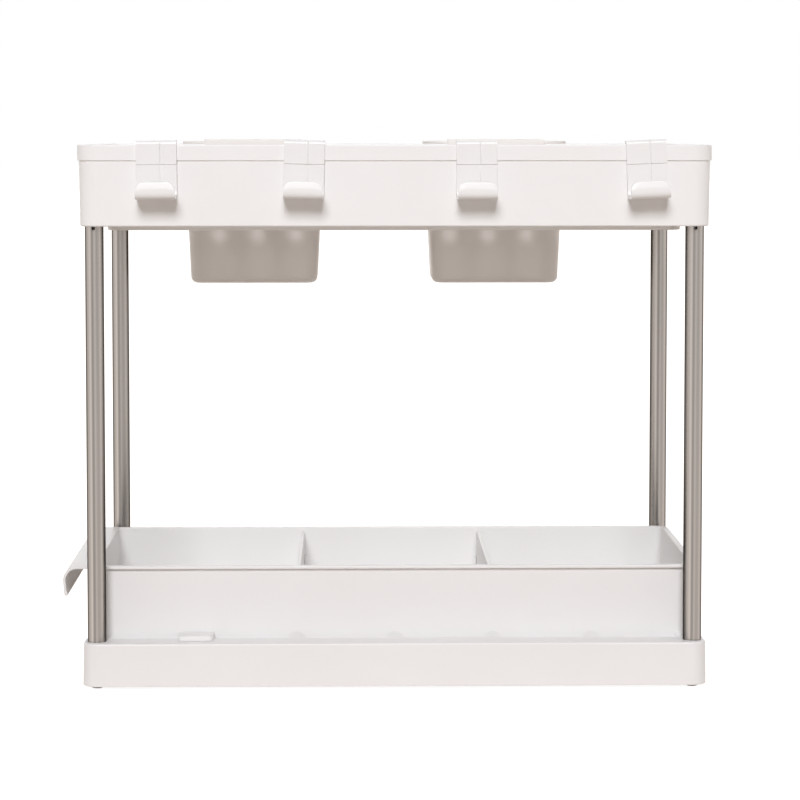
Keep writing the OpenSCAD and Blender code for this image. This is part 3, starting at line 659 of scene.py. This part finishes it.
def drawer_walls(drawer):
    """Drawer shell: a swept wall with its rim flange, whose foot stands below the floor.

    Half-round scoops are pressed into the outside of its long walls. Below a scoop's upper edge,
    mid + sqrt(R^2 - dx^2), the wall is set back by the height below that edge times the slope.
    """
    foot = eased([
        (0, 1.5, 0), (1.3, 1.5, 0.3), (1.3, 0, 0.3), (WALL_OUT, 0, 2.5),
        (WALL_OUT + WALL_LEAN * 2.8, 2.8, 0),
    ], closed=False)
    scoop = [(WALL_OUT + WALL_LEAN * z, z) for z in SCOOP_STOPS]
    rest = eased([
        (WALL_OUT + WALL_LEAN * 9, 9, 0), (6.952, 48.4, 0.3), (9.6, 48.4, 0.3),
        (9.6, DRAWER_H, 0.7), (5.0, DRAWER_H, 0.5), (3.9, 3.5, 1.0), (0, 3.5, 0),
    ], closed=False)
    profile = np.concatenate([foot, scoop, rest])
    outside = np.arange(len(profile)) < len(foot) + len(scoop)
    stops = (SCOOP_X[:, None] + SCOOP_R * np.linspace(-1, 1, 17)).ravel()
    along_x = np.concatenate([[-DRAWER_HALF[0]], stops, [DRAWER_HALF[0]]]) / DRAWER_HALF[0]

    def press(points, low):
        if low is not None:
            return points
        x, y, z = points[..., 0], points[..., 1], points[..., 2]
        beside = np.min(abs(x[..., None] - SCOOP_X), -1)
        crown = SCOOP_MID + np.sqrt(np.maximum(SCOOP_R**2 - beside**2, 0))
        below = np.clip(crown - np.maximum(z, SCOOP_MID), 0, None)
        depth = SCOOP_SLOPE * below * (beside < SCOOP_R)
        pressed = outside[:, None] & (abs(y) > DRAWER_HALF[1] + 3)
        return np.stack([x, y - np.sign(y) * np.where(pressed, depth, 0), z], -1)

    open_box(drawer, DRAWER_HALF, profile, along_x, bend=8, reshape=press)


def handle_sheet(drawer):
    """Pull handle: the rim goes on at full width, curls down and ends in a straight lip with a
    round bead. Its section is an arc of the curl's radius outside, and of that less the sheet's
    thickness inside. Its inner edge follows the rounded mouth: x = middle - sqrt(r^2 - dy^2)
    round each corner."""
    top = DRAWER_H + HANDLE_LIFT
    a = np.radians(np.linspace(90, CURL_END, 20))
    round_it = np.stack([np.cos(a), np.sin(a)], 1)
    down = np.array([-round_it[-1, 1], round_it[-1, 0]])
    middle = np.array([CURL_X, top - CURL_R])
    outer = middle + CURL_R * round_it
    inner = middle + (CURL_R - CURL_T) * round_it[::-1]
    outer = np.concatenate([outer, outer[-1:] + down * CURL_DROP])
    inner = np.concatenate([inner[:1] + down * (CURL_DROP - 2 * BEAD_R), inner])
    tip_way = np.radians(CURL_END + np.linspace(20, 220, 9))
    tip = outer[-1] - round_it[-1] * BEAD_R
    tip = tip + BEAD_R * np.stack([np.cos(tip_way), np.sin(tip_way)], 1)
    behind = [(MOUTH_X, top - CURL_T), (MOUTH_X, top - HANDLE_CUT), (MOUTH_X - HANDLE_CUT, top)]
    outline = np.concatenate([behind, outer, tip, inner])
    corner = MOUTH_HALF + MOUTH_R * np.sin(np.linspace(0, 1, 9) * np.pi / 2)
    stops = np.concatenate([-corner[::-1], [0], corner])

    def follow_mouth(points):
        """Moves the flat part's inner edge back to the mouth's outline."""
        side = np.clip(abs(points[..., 1]) - MOUTH_HALF, 0, MOUTH_R)
        edge_x = MOUTH_X + MOUTH_R - np.sqrt(MOUTH_R**2 - side**2)
        share = np.clip((points[..., 0] - CURL_X) / (MOUTH_X - CURL_X), 0, 1)
        flat = points[..., 2] > top - CURL_T - 0.01
        points[..., 0] += np.where(flat, share * (edge_x - MOUTH_X), 0)
        return points

    drawer.prism(outline, (-HANDLE_HALF, HANDLE_HALF), HANDLE_EDGE, "y", stops, follow_mouth)


def drawer_piece():
    """Drawer: shell, handle, guide ribs for the dividers, runner flanges and stop blocks."""
    drawer = Mould()
    drawer_walls(drawer)
    handle_sheet(drawer)
    for sy in (-1, 1):
        for (x0, x1), out, (z0, z1), edge in DRAWER_BLOCKS:
            y0, y1 = sorted(sy * y for y in out)
            drawer.block((x0, y0, z0), (x1, y1, z1), edge)
    drawer.shift(0, 0, DRAWER_Z)
    return drawer.cast("pull_drawer")


hand_over(drawer_piece(), drawer_plastic, "drawer", "drawer")


# ---------------------------------------------------------------- dividers and clips

DIVIDER_X, DIVIDER_HALF, DIVIDER_EDGE = 62.5, 1.0, 0.45
DIVIDER_SIDE = [(80.85, 30.6, 0.5), (83.85, 33.6, 0.5), (84.99, 73.5, 0.5), (83.49, 75.0, 0.5)]

CLIP_LEFT, CLIP_RIGHT = CLIP_X - 11.5, CLIP_X + 11.5
CLIP_IN, CLIP_OUT = 87.0, 101.95
CLIP_OUTLINE = [
    (CLIP_LEFT, CLIP_IN, 0.7), (CLIP_RIGHT, CLIP_IN, 0.7), (CLIP_RIGHT, CLIP_OUT, 3.3),
    (CLIP_LEFT, CLIP_OUT, 3.3),
]
CLIP_SPAN, CLIP_EDGE = (DECK_Z + 0.03, DECK_Z + 3.3), 0.6
PEG_PROFILE = [(0, 22.4), (2.0, 22.4), (2.0, 31.0), (0, 31.0)]


def divider_piece(name, x):
    """Divider: an upright plate with cut corners that follows the lean of the drawer's walls."""
    divider = Mould()
    left = [(-y, z, r) for y, z, r in DIVIDER_SIDE[::-1]]
    span = (x - DIVIDER_HALF, x + DIVIDER_HALF)
    divider.prism(eased(DIVIDER_SIDE + left, 4), span, DIVIDER_EDGE, "x")
    return divider.cast(name)


for name, x in (("divider_left", -DIVIDER_X), ("divider_right", DIVIDER_X)):
    hand_over(divider_piece(name + "_plate", x), drawer_plastic, name, name)


def clip_piece(name, sy):
    """Hold-down clip: a flat tab with rounded outer corners and eased edges, and its peg."""
    clip = Mould()
    clip.prism(eased(CLIP_OUTLINE, 8), CLIP_SPAN, CLIP_EDGE, mirror=(1, sy))
    clip.turned(PEG_PROFILE, (CLIP_X, sy * CLIP_PEG_Y), 24)
    return clip.cast(name)


for name, sy in (("clip_front", -1), ("clip_back", 1)):
    hand_over(clip_piece(name + "_tab", sy), drawer_plastic, "frame", name)


# ---------------------------------------------------------------- hooks

# Section of a hook, in distance out and height over the tray's rim
HOOK_OUTLINE = [
    (111.3, 0, 0.3), (111.3, -11, 0.5), (109.5, -11, 0.8), (109.5, 2.7, 0.9), (116.9, 2.7, 2.4),
    (116.9, -12.6, 0.3), (116.3, -12.6, 0.25), (116.3, -31.85, 2.0), (132.2, -31.85, 2.0),
    (132.0, -23.25, 0.5), (133.9, -23.25, 0.9), (134.6, -27.85, 12.0), (134.8, -34.45, 4.2),
    (114.08, -34.45, 4.6), (114.08, -11.4, 0.3), (115.1, -11.4, 0.3), (115.1, 0, 0.3),
]
HOOK_HALF, HOOK_EDGE, HOOK_TAPER = 12.95, 0.13, 0.03
PLATE_OUT, LIP_OUT, LIP_FOOT, LIP_RISE, LIP_ROUND = 116.3, 130.0, -29.85, 6.6, 6.0
FRONT_IN, FRONT_OUT = 116.25, 118.0
GROOVE_X, GROOVE_HALF, GROOVE_DEEP = 2.4, 0.4, 0.7

# Each hook's place along the rim, and its lean in degrees
HOOK_PLACES = ((-152.1, -0.4), (-57.8, 1.5), (51.8, -0.3), (159.9, -2.4))


def hook_piece(name, place, lean):
    """Hook: a bent strip carried along the rim and turned by its lean. The arm tapers towards the
    lip, the lip is lower towards its ends, by R - sqrt(R^2 - dx^2), and a groove of triangular
    section runs down the front."""
    hook = Mould()
    bow = np.sin(np.linspace(0, np.pi / 2, 9)[:-2])
    bow = HOOK_HALF - LIP_ROUND + LIP_ROUND * bow
    groove = GROOVE_X + GROOVE_HALF * np.array([-1, 0, 1])
    stops = np.concatenate([-bow[::-1], groove, bow])

    def shape(points):
        x, out, z = points[..., 0], points[..., 1], points[..., 2]
        along_arm = np.clip((out - PLATE_OUT) / (LIP_OUT - PLATE_OUT), 0, 1)
        x = x * (1 - HOOK_TAPER * along_arm)
        past = np.clip(abs(x) - (HOOK_HALF - LIP_ROUND), 0, LIP_ROUND)
        fall = LIP_ROUND - np.sqrt(LIP_ROUND**2 - past**2)
        on_lip = (out > LIP_OUT) & (z > LIP_FOOT)
        z = np.where(on_lip, LIP_FOOT + (z - LIP_FOOT) * (1 - fall / LIP_RISE), z)
        front = (out > FRONT_IN) & (out < FRONT_OUT) & (z > LIP_FOOT)
        dent = GROOVE_DEEP * np.clip(1 - abs(x - GROOVE_X) / GROOVE_HALF, 0, 1)
        out = out - np.where(front, dent, 0)
        c, s = np.cos(np.radians(lean)), np.sin(np.radians(lean))
        lift = RIM_Z + HOOK_HALF * abs(s)
        return np.stack([place + x * c + z * s, -out, lift - x * s + z * c], -1)

    hook.prism(eased(HOOK_OUTLINE), (-HOOK_HALF, HOOK_HALF), HOOK_EDGE, "x", stops, shape)
    return hook.cast(name)


for number, (place, lean) in enumerate(HOOK_PLACES, 1):
    hook, node = hook_piece(f"rim_hook_{number}", place, lean), f"hook_{number}"
    hand_over(hook, hook_plastic, node, node)


# ---------------------------------------------------------------- cups

CUP_HALF, CUP_Y, CUP_BEND = (36.6, 20.1), 150.2, 14
CUP_PROFILE = [
    (0, 0, 0), (9.1, 0, 4.5), (13.9, 100.8, 0.2), (14.9, 100.8, 0.3), (14.9, 102.8, 0.7),
    (12.2, 102.8, 0.7), (7.3, 1.8, 2.7), (0, 1.8, 0),
]
HANGER_OUTLINE = [
    (111.2, 351.4, 0.3), (111.2, 339.4, 0.5), (109.4, 339.4, 0.8), (109.4, 354.6, 0.8),
    (117.9, 354.6, 0.7), (117.9, 351.4, 0.3), (117.0, 349.4, 0.4), (116.1, 351.4, 0.3),
]
HANGER_HALF, HANGER_EDGE = 34.8, 0.28


def cup_piece(name, place):
    """Cup: a leaning swept box with its rim, and the hanger that goes over the tray's rim."""
    cup = Mould()
    open_box(cup, CUP_HALF, eased(CUP_PROFILE, closed=False), bend=CUP_BEND)
    cup.shift(0, CUP_Y, CUP_Z)
    cup.prism(eased(HANGER_OUTLINE, 5), (-HANGER_HALF, HANGER_HALF), HANGER_EDGE, "x")
    cup.shift(place, 0, 0)
    return cup.cast(name)


for name, place in (("cup_left", -98.2), ("cup_right", 76.5)):
    hand_over(cup_piece(name + "_shell", place), painted_shade_cup_plastic, name, name)


# ---------------------------------------------------------------- floor, light and camera

FLOOR_REACH = 30.0
FLOOR_COLOUR, FLOOR_WHITE = (0.74, 0.655, 0.585, 1), 0.92
FILL_COLOUR, FILL_STRENGTH = (1.0, 0.9, 0.8, 1), 0.145

# Each lamp's strength, width, degrees left of the front, degrees up, and colour
LAMPS = {
    "key": (2.3, 22.0, 4.0, 32.0, (0.955, 0.963, 1.0)),
    "left_side": (0.43, 60.0, 85.0, 20.0, (1.0, 0.98, 0.96)),
    "right_side": (0.43, 60.0, -85.0, 20.0, (1.0, 0.98, 0.96)),
    "back": (0.42, 60.0, 180.0, 30.0, (0.98, 0.98, 1.0)),
}
LAMP_AWAY = 3

CAMERA_PLACE = (-0.02505, -1.88015, 0.3577)
CAMERA_DIP, CAMERA_TURN = 3.712, 1.129


def sees_white(tree):
    """1 for camera, glossy and transmission rays, which show the white surroundings."""
    path = tree.nodes.new("ShaderNodeLightPath")
    total = path.outputs["Is Camera Ray"]
    for ray in ("Is Glossy Ray", "Is Transmission Ray"):
        both = tree.nodes.new("ShaderNodeMath")
        both.operation = "MAXIMUM"
        tree.links.new(total, both.inputs[0])
        tree.links.new(path.outputs[ray], both.inputs[1])
        total = both.outputs["Value"]
    return total


def pale_floor():
    """Wide floor that shows white but keeps the object's shadow."""
    mesh = bpy.data.meshes.new("studio_floor")
    reach = FLOOR_REACH
    corners = [(-reach, -reach, 0), (reach, -reach, 0), (reach, reach, 0), (-reach, reach, 0)]
    mesh.from_pydata(corners, [], [(0, 1, 2, 3)])
    floor = stand("studio_floor", mesh)
    material = bpy.data.materials.new("studio_paper")
    material.use_nodes = True
    tree = material.node_tree
    tree.nodes.clear()
    paper = tree.nodes.new("ShaderNodeBsdfDiffuse")
    paper.inputs["Color"].default_value = FLOOR_COLOUR
    shine = tree.nodes.new("ShaderNodeEmission")
    strength = tree.nodes.new("ShaderNodeMath")
    strength.operation = "MULTIPLY"
    strength.inputs[1].default_value = FLOOR_WHITE
    tree.links.new(sees_white(tree), strength.inputs[0])
    tree.links.new(strength.outputs["Value"], shine.inputs["Strength"])
    both = tree.nodes.new("ShaderNodeAddShader")
    tree.links.new(paper.outputs["BSDF"], both.inputs[0])
    tree.links.new(shine.outputs["Emission"], both.inputs[1])
    out = tree.nodes.new("ShaderNodeOutputMaterial")
    tree.links.new(both.outputs["Shader"], out.inputs["Surface"])
    mesh.materials.append(material)


def studio_world():
    """Dim warm fill for the object, plain white for what sees the surroundings."""
    world = bpy.data.worlds.new("studio")
    bpy.context.scene.world = world
    world.use_nodes = True
    tree = world.node_tree
    tree.nodes.clear()
    fill = tree.nodes.new("ShaderNodeBackground")
    fill.inputs["Color"].default_value = FILL_COLOUR
    fill.inputs["Strength"].default_value = FILL_STRENGTH
    white = tree.nodes.new("ShaderNodeBackground")
    white.inputs["Color"].default_value = (1, 1, 1, 1)
    white.inputs["Strength"].default_value = 1.0
    mix = tree.nodes.new("ShaderNodeMixShader")
    tree.links.new(sees_white(tree), mix.inputs["Fac"])
    tree.links.new(fill.outputs["Background"], mix.inputs[1])
    tree.links.new(white.outputs["Background"], mix.inputs[2])
    out = tree.nodes.new("ShaderNodeOutputWorld")
    tree.links.new(mix.outputs["Shader"], out.inputs["Surface"])


def lamp(name, strength, width, way_round, rise, colour):
    """Sun lamp, `width` degrees wide, that shines on the origin from `way_round` degrees left of
    the front and `rise` degrees up."""
    data = bpy.data.lights.new(name, "SUN")
    data.energy, data.angle, data.color = strength, np.radians(width), colour
    thing = stand(name, data)
    up, left = np.radians(rise), np.radians(way_round)
    level = np.cos(up)
    away = -level * np.sin(left), -level * np.cos(left), np.sin(up)
    thing.location = [part * LAMP_AWAY for part in away]
    thing.rotation_euler = (-thing.location).to_track_quat("-Z", "Y").to_euler()


def camera():
    """Long lens in front, level with the upper tray."""
    data = bpy.data.cameras.new("camera")
    data.sensor_width = 36.0
    data.lens = 122.84
    data.shift_y = -0.11
    data.clip_end = 100.0
    eye = stand("camera", data)
    eye.location = CAMERA_PLACE
    eye.rotation_euler = (np.radians(90 - CAMERA_DIP), 0, -np.radians(CAMERA_TURN))
    bpy.context.scene.camera = eye


pale_floor()
studio_world()
for name, settings in LAMPS.items():
    lamp(name, *settings)
camera()
bpy.context.scene.view_settings.view_transform = "Standard"
